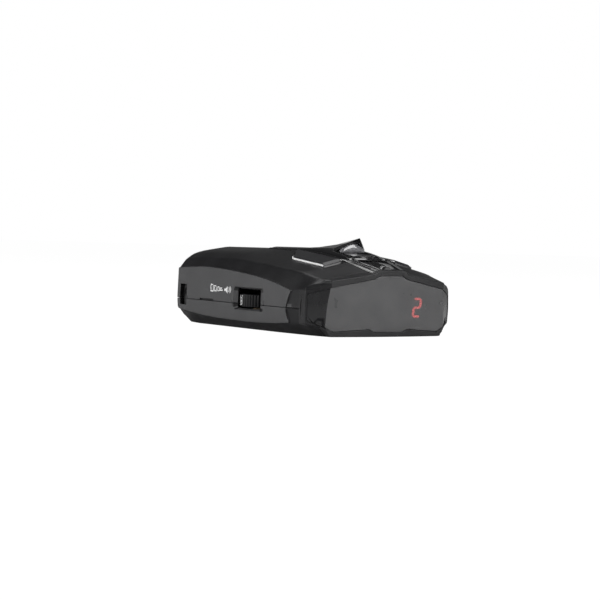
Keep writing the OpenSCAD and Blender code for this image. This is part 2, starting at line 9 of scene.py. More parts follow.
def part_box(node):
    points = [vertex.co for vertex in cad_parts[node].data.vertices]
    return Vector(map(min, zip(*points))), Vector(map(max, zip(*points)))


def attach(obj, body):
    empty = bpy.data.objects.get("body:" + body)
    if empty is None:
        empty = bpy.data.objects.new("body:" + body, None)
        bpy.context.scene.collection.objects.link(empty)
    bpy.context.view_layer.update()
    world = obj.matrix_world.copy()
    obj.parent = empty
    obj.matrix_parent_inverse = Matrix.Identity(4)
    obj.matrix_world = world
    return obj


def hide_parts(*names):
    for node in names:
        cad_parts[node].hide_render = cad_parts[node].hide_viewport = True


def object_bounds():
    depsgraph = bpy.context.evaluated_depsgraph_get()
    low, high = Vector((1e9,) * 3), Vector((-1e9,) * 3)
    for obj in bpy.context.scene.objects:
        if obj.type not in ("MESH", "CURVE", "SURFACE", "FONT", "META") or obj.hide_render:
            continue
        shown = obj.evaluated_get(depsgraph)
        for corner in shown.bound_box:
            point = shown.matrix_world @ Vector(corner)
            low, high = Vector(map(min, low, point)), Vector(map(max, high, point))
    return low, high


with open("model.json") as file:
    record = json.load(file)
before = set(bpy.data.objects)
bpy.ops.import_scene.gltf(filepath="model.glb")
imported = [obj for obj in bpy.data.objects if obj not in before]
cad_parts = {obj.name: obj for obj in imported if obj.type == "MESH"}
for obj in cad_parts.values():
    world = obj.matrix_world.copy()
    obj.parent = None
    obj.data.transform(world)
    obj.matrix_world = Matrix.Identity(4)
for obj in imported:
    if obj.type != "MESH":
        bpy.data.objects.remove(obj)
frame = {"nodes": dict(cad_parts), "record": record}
cad_low, cad_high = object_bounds()

# Sizes below are in millimetres, in the frame's own axes, and become metres when a mesh is made.
# FAR lies beyond the part on every side, and UNDER lies below it; both only bound the cutting tools.
MM = 0.001
FRONT_Y = cad_low.y / MM
REAR_Y = cad_high.y / MM
BODY_HALF = cad_high.x / MM
SEAM_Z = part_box("top_housing")[0].z / MM
WALL = 2.0
PAD_RISE = 0.6
FACE_RADIUS = 216.0
FACE_TILT = math.radians(3.2)
CROWN_Z = 26.5
NOSE_BACK = -49.0
CHEEK_BACK = -41.8
CHEEK_Z = (4.4, 18.4)
WINDOW_INSET = 0.3
WINDOW_THICK = 1.5
SENSOR_SPOT = (0, -20)
SENSOR_BORE_R = 2.6
FAR = 60
UNDER = -10


# ------------------------------------------------------------------ mesh helpers
def node_box(node):
    """Lowest and highest corner of a CAD node, in millimetres."""
    return [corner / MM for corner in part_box(node)]


def make_object(name, verts, faces):
    """Object from points in millimetres, with its faces turned outwards."""
    mesh = bpy.data.meshes.new(name)
    mesh.from_pydata([tuple(c * MM for c in v) for v in verts], [], faces)
    skin = bmesh.new()
    skin.from_mesh(mesh)
    bmesh.ops.recalc_face_normals(skin, faces=skin.faces)
    skin.to_mesh(mesh)
    skin.free()
    thing = bpy.data.objects.new(name, mesh)
    bpy.context.scene.collection.objects.link(thing)
    return thing


def settle(thing):
    """Turns an object's modifiers into its mesh."""
    graph = bpy.context.evaluated_depsgraph_get()
    mesh = bpy.data.meshes.new_from_object(thing.evaluated_get(graph))
    thing.modifiers.clear()
    thing.data = mesh
    return thing


def combine(target, tool, operation="DIFFERENCE"):
    """Boolean of two closed solids. The tool is used up."""
    modifier = target.modifiers.new("combine", "BOOLEAN")
    modifier.operation = operation
    modifier.solver = "MANIFOLD"
    modifier.object = tool
    bpy.context.view_layer.update()
    settle(target)
    bpy.data.objects.remove(tool)
    return target


def copy_of(thing, name):
    twin = bpy.data.objects.new(name, thing.data.copy())
    bpy.context.scene.collection.objects.link(twin)
    return twin


def join(things, name):
    """One object from several that don't overlap."""
    merged = bmesh.new()
    for thing in things:
        part = thing.data.copy()
        part.transform(thing.matrix_world)
        merged.from_mesh(part)
        bpy.data.objects.remove(thing)
    mesh = bpy.data.meshes.new(name)
    merged.to_mesh(mesh)
    merged.free()
    thing = bpy.data.objects.new(name, mesh)
    bpy.context.scene.collection.objects.link(thing)
    return thing


def place(axis, level, a, b):
    return {"X": (level, a, b), "Y": (a, level, b), "Z": (a, b, level)}[axis]


def stack(name, rings):
    """Closed solid over rings of points with equal counts, from the first ring to the last."""
    n = len(rings[0])
    last = (len(rings) - 1) * n
    verts = [p for ring in rings for p in ring]
    faces = [(i * n + j, i * n + (j + 1) % n, (i + 1) * n + (j + 1) % n, (i + 1) * n + j)
             for i in range(len(rings) - 1) for j in range(n)]
    return make_object(name, verts, faces + [tuple(range(n)), tuple(range(last, last + n))])


def prism(outline, axis, low, high, name="prism"):
    """Solid between two levels on an axis, from an outline in the other two axes."""
    return stack(name, [[place(axis, level, *p) for p in outline] for level in (low, high)])


def loft(name, levels, rings):
    """Closed skin over rings of (x, z) points, one ring for each y."""
    return stack(name, [[(p[0], y, p[1]) for p in ring] for y, ring in zip(levels, rings)])


def box_outline(low, high):
    return [(low[0], low[1]), (high[0], low[1]), (high[0], high[1]), (low[0], high[1])]


def block(low, high):
    return prism(box_outline(low, high), "Z", low[2], high[2])


def ahead_of(y):
    """Everything in front of a level on Y."""
    return block((-FAR, -FAR, UNDER), (FAR, y, FAR))


def ring_points(centre, radius, count=48):
    turns = [2 * math.pi * i / count for i in range(count)]
    return [(centre[0] + radius * math.cos(t), centre[1] + radius * math.sin(t)) for t in turns]


def fillet(points, radii, steps=3):
    """Closed outline with corner i rounded off over radii[i] on both sides."""
    out = []
    for i, corner in enumerate(points):
        corner = Vector(corner)
        if radii[i] == 0:
            out.append(tuple(corner))
            continue
        before = Vector(points[i - 1]) - corner
        after = Vector(points[(i + 1) % len(points)]) - corner
        start = corner + before.normalized() * min(radii[i], 0.45 * before.length)
        end = corner + after.normalized() * min(radii[i], 0.45 * after.length)
        for k in range(steps + 1):
            t = k / steps
            out.append(tuple((1 - t) ** 2 * start + 2 * t * (1 - t) * corner + t * t * end))
    return out


def rounded(points, radius, steps=4):
    return fillet(points, [radius] * len(points), steps)


def mirrored(points):
    return [(-p[0], p[1]) for p in reversed(points)]


def soften(thing, width=0.15, steps=2, angle=32):
    """Rounds the sharp edges and shades the rest smooth."""
    skin = bmesh.new()
    skin.from_mesh(thing.data)
    bmesh.ops.remove_doubles(skin, verts=skin.verts, dist=0.012 * MM)
    bmesh.ops.dissolve_degenerate(skin, edges=skin.edges, dist=0.01 * MM)
    skin.to_mesh(thing.data)
    skin.free()
    thing.data.shade_smooth()
    bevel = thing.modifiers.new("round edges", "BEVEL")
    bevel.width = width * MM
    bevel.segments = steps
    bevel.limit_method = "ANGLE"
    bevel.angle_limit = math.radians(angle)
    bevel.use_clamp_overlap = False
    bevel.harden_normals = True
    return thing


def smooth_by_angle(thing, angle=30):
    thing.data.shade_smooth()
    thing.data.set_sharp_from_angle(angle=math.radians(angle))
    return thing


def curve(*knots):
    """Smooth function through (place, value) knots, with no overshoot between them."""
    xs = [k[0] for k in knots]
    vs = [k[1] for k in knots]
    steps = [(vs[i + 1] - vs[i]) / (xs[i + 1] - xs[i]) for i in range(len(xs) - 1)]
    inner = [0 if a * b <= 0 else 2 * a * b / (a + b) for a, b in zip(steps, steps[1:])]
    slopes = [steps[0]] + inner + [steps[-1]]

    def value(x):
        x = min(max(x, xs[0]), xs[-1])
        i = max(j for j in range(len(xs) - 1) if xs[j] <= x)
        span = xs[i + 1] - xs[i]
        t = (x - xs[i]) / span
        return (vs[i] * (2 * t ** 3 - 3 * t ** 2 + 1) + vs[i + 1] * (3 * t ** 2 - 2 * t ** 3)
                + span * (slopes[i] * (t ** 3 - 2 * t ** 2 + t) + slopes[i + 1] * (t ** 3 - t ** 2)))

    return value


def straight(*knots):
    """Function through (place, value) knots with straight stretches between them."""
    def value(x):
        x = min(max(x, knots[0][0]), knots[-1][0])
        for (x0, v0), (x1, v1) in zip(knots, knots[1:]):
            if x <= x1:
                return v0 + (v1 - v0) * (x - x0) / (x1 - x0)
        return knots[-1][1]

    return value


# ------------------------------------------------------------------ body curves
bottom_half = straight((-56, 26.6), (-52, 27.6), (-42, 30), (-20, 31.5), (42, 31.5), (50, 29.8), (54, 29))
side_inset = straight((-56, 13.4), (-52, 8.6), (-45.6, 0.3), (-36, 0.1), (8, 0), (44, 0.2), (52, 0.4),
                      (54, 1.6))
panel_low = curve((-56, 1.6), (-52, 2.2), (-45.6, 5), (-36, 4.4), (-8, 3.4), (20, 3.7), (42, 4.8), (50, 6),
                  (54, 7))
panel_high = curve((-56, 20), (-52, 20.2), (-48, 20.7), (-45.6, 19.2), (-41, 18.4), (-36, 17.8), (-22, 21),
                   (-7, 22.9), (8, 24.2), (28, 25.1), (54, 24))
shoulder_half = curve((-56, 27.4), (-52, 28.8), (-42, 31.2), (-36, 32.4), (-20, 33), (50, 33), (54, 31.5))
shoulder_z = curve((-56, 21.3), (-52, 21.9), (-42, 23.7), (-36, 25), (-22, 26.4), (-8, 27.7), (14, 28.9),
                   (38, 28.7), (54, 27.6))
spine_half = curve((-56, 8.8), (-52, 9.2), (-36, 12), (-10, 13), (54, 13))
spine_base_z = curve((-56, 24.4), (-52, 25.2), (-38, 29.3), (-10, 32.5), (6, 33.5), (48, 33.8), (54, 33.2))
crest_half = curve((-56, 5.9), (-52, 6.5), (-38.5, 9), (54, 9))
crest_front_z = straight((-56, 26), (-54, 26.5), (-38.3, 30.35))
crest_rear_z = curve((-37.6, 30.95), (-24, 33.7), (-13, 34.6), (54, 34.6))
deck_bow = curve((-52, 0), (-10, 0.4), (20, 1.7), (54, 1.9))
DECK_SHARE = 0.27
CREST_STEP = (-38.3, -37.6)
PAD_FRONT = -36.0

LEVELS = sorted({-56, -54, -52, -50.3, -48.6, -47.2, -45.6, -43.2, -40.6, -38.3, 50, 51, 52, 53, 54}
                | {-36 + 3 * i for i in range(29)})


def side_half(y):
    return BODY_HALF - side_inset(y)


def core_half(y):
    """The side walls lie a little inside the raised side panels."""
    return side_half(y) - PAD_RISE * min(1, max(0, (y + 46) / 4))


def deck_half(y):
    return shoulder_half(y) + DECK_SHARE * (spine_half(y) - shoulder_half(y))


def deck_z(y):
    return shoulder_z(y) + DECK_SHARE * (spine_base_z(y) - shoulder_z(y)) + deck_bow(y)


SIDE_LEAN = (0.45, 0.4)


def body_ring(y, inset, half):
    """One cross-section of the body, shrunk by inset, with its corners rounded."""
    right = [
        (bottom_half(y) - 0.4 * inset, inset),
        (half(y) - inset - SIDE_LEAN[0], panel_low(y) + 0.4 * inset),
        (half(y) - inset, SEAM_Z),
        (half(y) - inset - SIDE_LEAN[1], panel_high(y) - 0.3 * inset),
        (shoulder_half(y) - 0.8 * inset, shoulder_z(y) - 0.8 * inset),
        (deck_half(y) - 0.4 * inset, deck_z(y) - inset),
        (spine_half(y), spine_base_z(y) - inset),
    ]
    radii = [0.7, 0.7, 3.0, 0.6, 0.9, 6.0, 0.5]
    return fillet(right + mirrored(right), radii + radii[::-1], 4)


def body_solid(inset, half, last=REAR_Y, name="body"):
    levels = sorted({min(y, last - inset) for y in LEVELS})
    return loft(name, levels, [body_ring(y, inset, half) for y in levels])


def behind_face(inset):
    """Everything behind the convex, slightly leaning display face."""
    half = 46.0
    xs = [half * (i / 40 - 1) for i in range(81)]
    arc = [(x, FACE_RADIUS - math.sqrt(FACE_RADIUS ** 2 - x * x)) for x in xs]
    solid = prism(arc + [(half, FAR), (-half, FAR)], "Z", -FAR, FAR)
    turn = Matrix.Rotation(FACE_TILT, 4, "X")
    shift = Vector((0, FRONT_Y + inset, CROWN_Z)) * MM
    solid.data.transform(Matrix.Translation(shift) @ turn)
    return solid


def nose_solid(inset):
    return combine(body_solid(inset, side_half, -38.3, "nose"), behind_face(inset), "INTERSECT")


# ------------------------------------------------------------------ camera, floor and light
CAMERA_EYE = (-388.2, -544.5, 36.6)
CAMERA_TARGET = (-44.25, -53.3, 14.62)
CAMERA_ROLL = math.radians(1.8)
CAMERA_LENS = 94.03


def aim_camera():
    """The photo's own view."""
    eye, target = Vector(CAMERA_EYE) * MM, Vector(CAMERA_TARGET) * MM
    forward = (target - eye).normalized()
    right = forward.cross(Vector((0, 0, 1))).normalized()
    up = right.cross(forward)
    across = math.cos(CAMERA_ROLL) * right + math.sin(CAMERA_ROLL) * up
    above = math.cos(CAMERA_ROLL) * up - math.sin(CAMERA_ROLL) * right
    lens = bpy.data.cameras.new("camera")
    lens.sensor_width = 36
    lens.lens = CAMERA_LENS
    lens.clip_start = 0.01
    lens.clip_end = 50
    camera = bpy.data.objects.new("camera", lens)
    bpy.context.scene.collection.objects.link(camera)
    turn = Matrix((across, above, -forward)).transposed().to_4x4()
    camera.matrix_world = Matrix.Translation(eye) @ turn
    bpy.context.scene.camera = camera


def area_light(name, spot, target, size, power):
    lamp = bpy.data.lights.new(name, "AREA")
    lamp.shape = "RECTANGLE"
    lamp.size, lamp.size_y = size
    lamp.energy = power
    thing = bpy.data.objects.new(name, lamp)
    bpy.context.scene.collection.objects.link(thing)
    thing.location = spot
    thing.rotation_mode = "QUATERNION"
    thing.rotation_quaternion = (Vector(spot) - Vector(target)).to_track_quat("Z", "Y")


def light_studio():
    """White backdrop; a soft dome that is bright at the horizon and dim overhead."""
    bpy.context.scene.view_settings.view_transform = "Standard"
    world = bpy.data.worlds.new("studio")
    world.use_nodes = True
    bpy.context.scene.world = world
    nodes, links = world.node_tree.nodes, world.node_tree.links
    nodes.clear()
    coords = nodes.new("ShaderNodeTexCoord")
    height = nodes.new("ShaderNodeSeparateXYZ")
    links.new(coords.outputs["Generated"], height.inputs[0])
    ramp = nodes.new("ShaderNodeValToRGB")
    links.new(height.outputs["Z"], ramp.inputs[0])
    stops = [(0.0, 0.30), (0.06, 0.45), (0.22, 0.10), (0.5, 0.03), (1.0, 0.06)]
    while len(ramp.color_ramp.elements) < len(stops):
        ramp.color_ramp.elements.new(0.5)
    for element, (spot, grey) in zip(ramp.color_ramp.elements, stops):
        element.position = spot
        element.color = (grey, grey, grey, 1)
    dome = nodes.new("ShaderNodeBackground")
    links.new(ramp.outputs[0], dome.inputs["Color"])
    backdrop = nodes.new("ShaderNodeBackground")
    backdrop.inputs["Color"].default_value = (1, 1, 1, 1)
    path = nodes.new("ShaderNodeLightPath")
    choose = nodes.new("ShaderNodeMixShader")
    links.new(path.outputs["Is Camera Ray"], choose.inputs[0])
    links.new(dome.outputs[0], choose.inputs[1])
    links.new(backdrop.outputs[0], choose.inputs[2])
    output = nodes.new("ShaderNodeOutputWorld")
    links.new(choose.outputs[0], output.inputs[0])
    area_light("side softbox", (-0.75, 0.12, 0.28), (0, 0, 0.015), (0.5, 0.45), 4.2)
    area_light("front softbox", (0.35, -0.8, 0.35), (0, 0, 0.01), (0.6, 0.5), 6.0)
    area_light("top softbox", (0.1, 0.1, 1.1), (0, 0, 0), (0.9, 0.9), 7)


aim_camera()
light_studio()


# ------------------------------------------------------------------ materials
class Surface:
    """A Principled material built up from procedural layers in millimetre coordinates."""

    def __init__(self, name, color, roughness, **sockets):
        self.material = bpy.data.materials.new(name)
        self.material.use_nodes = True
        self.nodes = self.material.node_tree.nodes
        self.links = self.material.node_tree.links
        self.shader = self.nodes["Principled BSDF"]
        self.color = color
        self.roughness = roughness
        for socket, value in sockets.items():
            self.shader.inputs[socket.replace("_", " ")].default_value = value
        coords = self.nodes.new("ShaderNodeTexCoord")
        self.millimetres = self.nodes.new("ShaderNodeMapping")
        self.millimetres.inputs["Scale"].default_value = (1 / MM, 1 / MM, 1 / MM)
        self.links.new(coords.outputs["Object"], self.millimetres.inputs["Vector"])
        self.bump_from = None

    def texture(self, kind, scale, stretch=(1, 1, 1), **settings):
        spread = self.nodes.new("ShaderNodeMapping")
        spread.inputs["Scale"].default_value = stretch
        self.links.new(self.millimetres.outputs[0], spread.inputs["Vector"])
        node = self.nodes.new("ShaderNodeTex" + kind)
        node.inputs["Scale"].default_value = scale
        for socket, value in settings.items():
            node.inputs[socket].default_value = value
        self.links.new(spread.outputs[0], node.inputs["Vector"])
        return node.outputs["Fac"] if "Fac" in node.outputs else node.outputs[0]

    def remap(self, value, low, high, start=0.3, end=0.7):
        node = self.nodes.new("ShaderNodeMapRange")
        for socket, number in zip(("From Min", "From Max", "To Min", "To Max"), (start, end, low, high)):
            node.inputs[socket].default_value = number
        self.links.new(value, node.inputs["Value"])
        return node.outputs[0]

    def tint(self, value, color_low, color_high, start=0.3, end=0.7):
        ramp = self.nodes.new("ShaderNodeValToRGB")
        ramp.color_ramp.elements[0].position = start
        ramp.color_ramp.elements[1].position = end
        ramp.color_ramp.elements[0].color = (*color_low, 1)
        ramp.color_ramp.elements[1].color = (*color_high, 1)
        self.links.new(value, ramp.inputs[0])
        self.links.new(ramp.outputs[0], self.shader.inputs["Base Color"])
        return self

    def vary(self, value, amount):
        """Base colour and roughness both drift a little with a texture."""
        low = [max(0, c * (1 - amount)) for c in self.color]
        high = [min(1, c * (1 + amount)) for c in self.color]
        self.tint(value, low, high)
        rough = self.remap(value, self.roughness * (1 - amount), min(1, self.roughness * (1 + amount)))
        self.links.new(rough, self.shader.inputs["Roughness"])
        return self

    def bump(self, value, depth, strength=1.0):
        """Relief of the given depth in millimetres, on top of any earlier relief."""
        node = self.nodes.new("ShaderNodeBump")
        node.inputs["Distance"].default_value = depth * MM
        node.inputs["Strength"].default_value = strength
        self.links.new(value, node.inputs["Height"])
        if self.bump_from:
            self.links.new(self.bump_from, node.inputs["Normal"])
        self.bump_from = node.outputs[0]
        self.links.new(self.bump_from, self.shader.inputs["Normal"])
        return self


def moulded(name, color, roughness, grain=3.0, depth=0.010, **sockets):
    """Injection-moulded plastic: fine spark texture over broad flow marks."""
    s = Surface(name, color, roughness, **sockets)
    s.vary(s.texture("Noise", 0.12, Detail=3.0), 0.10)
    s.bump(s.texture("Noise", grain, Detail=2.0), depth, 0.6)
    return s.material


def glossy(name, color, roughness, **sockets):
    """Polished plastic with faint smears and a trace of moulding waviness."""
    s = Surface(name, color, roughness, **sockets)
    s.vary(s.texture("Noise", 0.15, Detail=4.0), 0.15)
    s.bump(s.texture("Noise", 0.08, Detail=0.0), 0.03, 0.3)
    return s.material


def metal(name, color, roughness, stretch=(0.2, 6, 6)):
    """Metal with drawn or rolled streaks."""
    s = Surface(name, color, roughness, Metallic=1.0)
    streaks = s.texture("Noise", 2.0, stretch, Detail=4.0)
    s.vary(streaks, 0.18)
    s.bump(streaks, 0.006, 0.5)
    return s.material


def circuit(name, mask, copper):
    """Solder mask over copper: tracks as bands in two directions, with round pads."""
    s = Surface(name, mask, 0.32, Coat_Weight=0.3)
    along = s.texture("Wave", 0.55, Distortion=3.0, Detail=1.0)
    pads = s.texture("Voronoi", 0.45)
    both = s.nodes.new("ShaderNodeMath")
    both.operation = "MULTIPLY"
    s.links.new(s.remap(along, 0, 1, 0.55, 0.6), both.inputs[0])
    s.links.new(s.remap(pads, 0, 1, 0.18, 0.2), both.inputs[1])
    s.tint(both.outputs[0], copper, mask, 0.45, 0.55)
    s.bump(both.outputs[0], 0.02, 0.6)
    return s.material


def cellular(name, color, scale, depth, roughness=0.9):
    """Open-cell or fibrous surface."""
    s = Surface(name, color, roughness)
    cells = s.texture("Voronoi", scale)
    s.vary(cells, 0.35)
    s.bump(cells, depth)
    return s.material


def ribbon(name):
    """Film with printed conductors that run along it."""
    s = Surface(name, (0.62, 0.58, 0.5), 0.35)
    lines = s.texture("Wave", 1.0, (1, 0, 0))
    s.tint(lines, (0.62, 0.58, 0.50), (0.22, 0.20, 0.18), 0.55, 0.65)
    s.bump(lines, 0.02, 0.5)
    return s.material


def glowing(name, color, strength):
    s = Surface(name, color, 0.4, Emission_Color=(*color, 1), Emission_Strength=strength)
    s.vary(s.texture("Noise", 1.2), 0.06)
    return s.material


MATERIALS = {
    "housing_upper": moulded("housing plastic", (0.010, 0.010, 0.011), 0.38, Specular_IOR_Level=0.35),
    "housing_lower": moulded("lower housing plastic", (0.009, 0.009, 0.010), 0.5, Specular_IOR_Level=0.25),
    "bezel": moulded("bezel plastic", (0.012, 0.012, 0.013), 0.36, 4.0, 0.006, Specular_IOR_Level=0.4),
    "smoked_window": moulded("smoked acrylic", (0.088, 0.088, 0.090), 0.30, 6.0, 0.001, Alpha=0.86,
                             Coat_Weight=0.2),
    "gloss_trim": glossy("gloss trim", (0.008, 0.008, 0.009), 0.08, Coat_Weight=1.0),
    "eye_lens": glossy("smoked eye lens", (0.16, 0.16, 0.17), 0.12, Coat_Weight=1.0),
    "laser_lens": glossy("laser lens", (0.12, 0.010, 0.016), 0.06, Coat_Weight=1.0),
    "button_plastic": moulded("button plastic", (0.016, 0.016, 0.018), 0.36, 4.0, 0.008),
    "switch_plunger": moulded("plunger plastic", (0.62, 0.60, 0.54), 0.5),
    "switch_body": moulded("switch plastic", (0.03, 0.03, 0.03), 0.5),
    "circuit_board": circuit("green circuit board", (0.012, 0.10, 0.035), (0.10, 0.28, 0.08)),
    "steel_screw": metal("zinc screw", (0.60, 0.60, 0.62), 0.32),
    "display_black": moulded("display moulding", (0.014, 0.014, 0.015), 0.6),
    "lit_segment": glowing("lit segment", (1.0, 0.12, 0.12), 20.0),
    "led_cap": moulded("LED lens", (0.60, 0.52, 0.42), 0.25),
    "wheel_rubber": moulded("wheel rubber", (0.006, 0.006, 0.007), 0.5, 5.0, 0.012, Specular_IOR_Level=0.3),
    "control_metal": metal("nickel shaft", (0.66, 0.65, 0.62), 0.25),
    "control_base": moulded("phenolic", (0.28, 0.20, 0.11), 0.55, 2.0, 0.02),
    "jack_plastic": moulded("jack plastic", (0.035, 0.035, 0.036), 0.42),
    "contact_metal": metal("nickel contact", (0.78, 0.77, 0.74), 0.18),
    "contact_brass": metal("brass contact", (0.72, 0.52, 0.20), 0.28),
    "cast_metal": cellular("cast metal", (0.42, 0.42, 0.44), 2.5, 0.03, 0.45),
    "rf_laminate": circuit("radio board", (0.015, 0.10, 0.13), (0.45, 0.32, 0.10)),
    "shield_metal": metal("tinned shield", (0.68, 0.68, 0.68), 0.3, (3, 0.3, 3)),
    "sensor_body": glossy("infrared filter", (0.05, 0.008, 0.012), 0.12),
    "speaker_steel": metal("speaker basket", (0.20, 0.20, 0.22), 0.4),
    "speaker_magnet": cellular("ferrite", (0.05, 0.05, 0.055), 3.0, 0.02, 0.7),
    "speaker_paper": cellular("pressed paper", (0.035, 0.03, 0.026), 1.6, 0.05),
    "foam_gasket": cellular("closed-cell foam", (0.03, 0.03, 0.03), 2.2, 0.10),
    "chip_black": moulded("epoxy package", (0.02, 0.02, 0.021), 0.55, 5.0, 0.012),
    "capacitor_can": metal("capacitor can", (0.55, 0.55, 0.57), 0.3, (3, 3, 0.3)),
    "ribbon_film": ribbon("ribbon film"),
    "wire_jacket": glossy("wire jacket", (0.22, 0.02, 0.02), 0.35),
    "black_screw": metal("black screw", (0.05, 0.05, 0.055), 0.38),
    "label_film": moulded("label film", (0.17, 0.17, 0.175), 0.5, 5.0, 0.004),
}
# Painted light: the side panels are the housing's own plastic made lighter, standing in for the side light
# that falls on them.
PAINTED_LIGHT_PANEL = moulded("side panel plastic painted light", (0.056, 0.056, 0.058), 0.5, 3.2, 0.012)
# White print for the pictogram and the wheel's number, also used for the painted highlight line on the
# wheel's edge.
PRINT_AND_HIGHLIGHT = moulded("white print and painted highlight", (0.80, 0.80, 0.80), 0.55, 6.0, 0.004)
# Painted highlight: near-white lines that stand in for light caught on the button edges.
PAINTED_HIGHLIGHT = moulded("painted highlight line", (0.90, 0.90, 0.90), 0.35, 6.0, 0.003)
WING = glossy("dark window wing", (0.008, 0.008, 0.009), 0.26, Coat_Weight=0.2)
DARK_PRINT = moulded("dark print", (0.03, 0.03, 0.032), 0.6, 6.0, 0.004)


def dress(thing, slot, body="body", material=None, replaces=()):
    """Gives a piece the material of its slot or the one given, unless it has one already, sets it under its
    body, and hides the CAD nodes it replaces.
    """
    chosen = material or MATERIALS[slot]
    if not any(thing.data.materials):
        thing.data.materials.clear()
        thing.data.materials.append(chosen)
    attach(thing, body)
    if replaces:
        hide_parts(*replaces)
    return thing


# ------------------------------------------------------------------ outer shells
PAD_OUTLINE = [
    (52.8, 24.0), (40, 24.8), (29, 25.1), (19, 24.8), (9, 24.2), (-6.4, 22.9), (-21.2, 21), (-35.6, 17.6),
    (-34, 14.9), (-32.5, 10.1), (-33.3, 7.4), (-34.9, 4.7),
    (-22.1, 3.8), (-7.4, 3.4), (7.8, 3.4), (19.7, 3.7), (32, 4.3), (52.0, 6.1)]


def raised_pad(side):
    """The raised side panel: the body's widest skin inside the panel's outline."""
    low, high = sorted((side * (BODY_HALF - 1.6), side * (BODY_HALF + 1)))
    outline = fillet(PAD_OUTLINE, [0.6, 6, 6, 6, 6, 6, 6, 0.5, 1.5, 3, 1.5, 0.5, 6, 6, 6, 6, 6, 0.6], 3)
    pad = prism(outline, "X", low, high, "pad")
    return combine(pad, body_solid(0, side_half), "INTERSECT")


WHEEL_MOUTH = (-4.4, 12.8)


def wheel_cutter():
    """Opening for the thumbwheel: bevelled outside, straight inside, and room for the rotor."""
    y, z = WHEEL_MOUTH
    outer = rounded(box_outline((y - 12.6, z - 4.8), (y + 10.0, z + 4.8)), 1.6)
    inner = rounded(box_outline((y - 8.5, z - 4.1), (y + 8.5, z + 4.1)), 1.2)
    depths = [(-0.6, outer), (0.15, outer), (1.5, inner), (6, inner)]
    return stack("wheel opening", [[(depth - BODY_HALF, *p) for p in ring] for depth, ring in depths])


WHEEL_LOW, WHEEL_HIGH = node_box("volume_wheel")
WHEEL_CENTRE = (WHEEL_LOW + WHEEL_HIGH) / 2
WHEEL_R = (WHEEL_HIGH.y - WHEEL_LOW.y) / 2


def rotor_cutter():
    outline = ring_points(WHEEL_CENTRE.xy, WHEEL_R + 0.45, 72)
    return prism(outline, "Z", WHEEL_LOW.z - 0.5, WHEEL_HIGH.z + 0.5)


BUTTON_PLAN = [(-22.6, -38), (-13.4, -38), (-13.4, -5.5), (-22.6, -15.8)]
BUTTON_GAP = 0.28


def grown(outline, amount):
    """Outline moved outwards by amount, corner by corner."""
    n = len(outline)
    area = sum(outline[i - 1][0] * outline[i][1] - outline[i][0] * outline[i - 1][1] for i in range(n))
    sign = 1 if area > 0 else -1
    out = []
    for i in range(n):
        corner = Vector(outline[i])
        a = (corner - Vector(outline[i - 1])).normalized()
        b = (Vector(outline[(i + 1) % n]) - corner).normalized()
        normal_a, normal_b = Vector((a.y, -a.x)) * sign, Vector((b.y, -b.x)) * sign
        middle = (normal_a + normal_b).normalized()
        out.append(tuple(corner + middle * (amount / max(0.3, middle.dot(normal_a)))))
    return out


def speaker_slot_cutters():
    low, high = node_box("speaker_frame")
    centre_y, reach = (low.y + high.y) / 2, (high.x - low.x) / 2 - 3
    cutters = []
    pitch, half_width = 2.5, 0.6
    for i in range(-4, 5):
        x = pitch * i
        half = math.sqrt(reach ** 2 - x ** 2)
        slot = box_outline((x - half_width, centre_y - half), (x + half_width, centre_y + half))
        cutters.append(prism(rounded(slot, 0.5), "Z", -1, 3.5))
    return cutters


def screw_spots():
    """Centres of the four housing screws, from their CAD solids."""
    points = [v.co / MM for v in frame["nodes"]["housing_screws"].data.vertices]
    spots = []
    for left in (True, False):
        for rear in (True, False):
            group = [p for p in points if (p.x < 0) == left and (p.y > 0) == rear]
            xs, ys = [p.x for p in group], [p.y for p in group]
            spots.append(((min(xs) + max(xs)) / 2, (min(ys) + max(ys)) / 2))
    return spots


def cheek_blocks():
    """The two places where the bezel wraps round onto the cheeks."""
    return [block((low, -FAR, CHEEK_Z[0]), (high, CHEEK_BACK, CHEEK_Z[1]))
            for low, high in ((-40, -24), (24, 40))]


def cheek_groove(side, y):
    """Shallow bowed groove down a cheek, behind the window's wing."""
    turns = [math.radians(a) for a in range(-60, 61, 10)]
    bow = [(y + 1.1 * math.cos(t), 11.5 + 4.4 * math.sin(t) / math.sin(math.radians(60))) for t in turns]
    back = [(p[0] + 0.45, p[1]) for p in reversed(bow)]
    low, high = sorted((side * (BODY_HALF - 0.75), side * (BODY_HALF + 1)))
    return prism(bow + back, "X", low, high)


def rear_slant():
    """Wedge that leans the windshield end in below the side panels."""
    return prism([(51, 0), (56, 11.7), (60, 11.7), (60, -2), (50.2, -2)], "X", -50, 50)


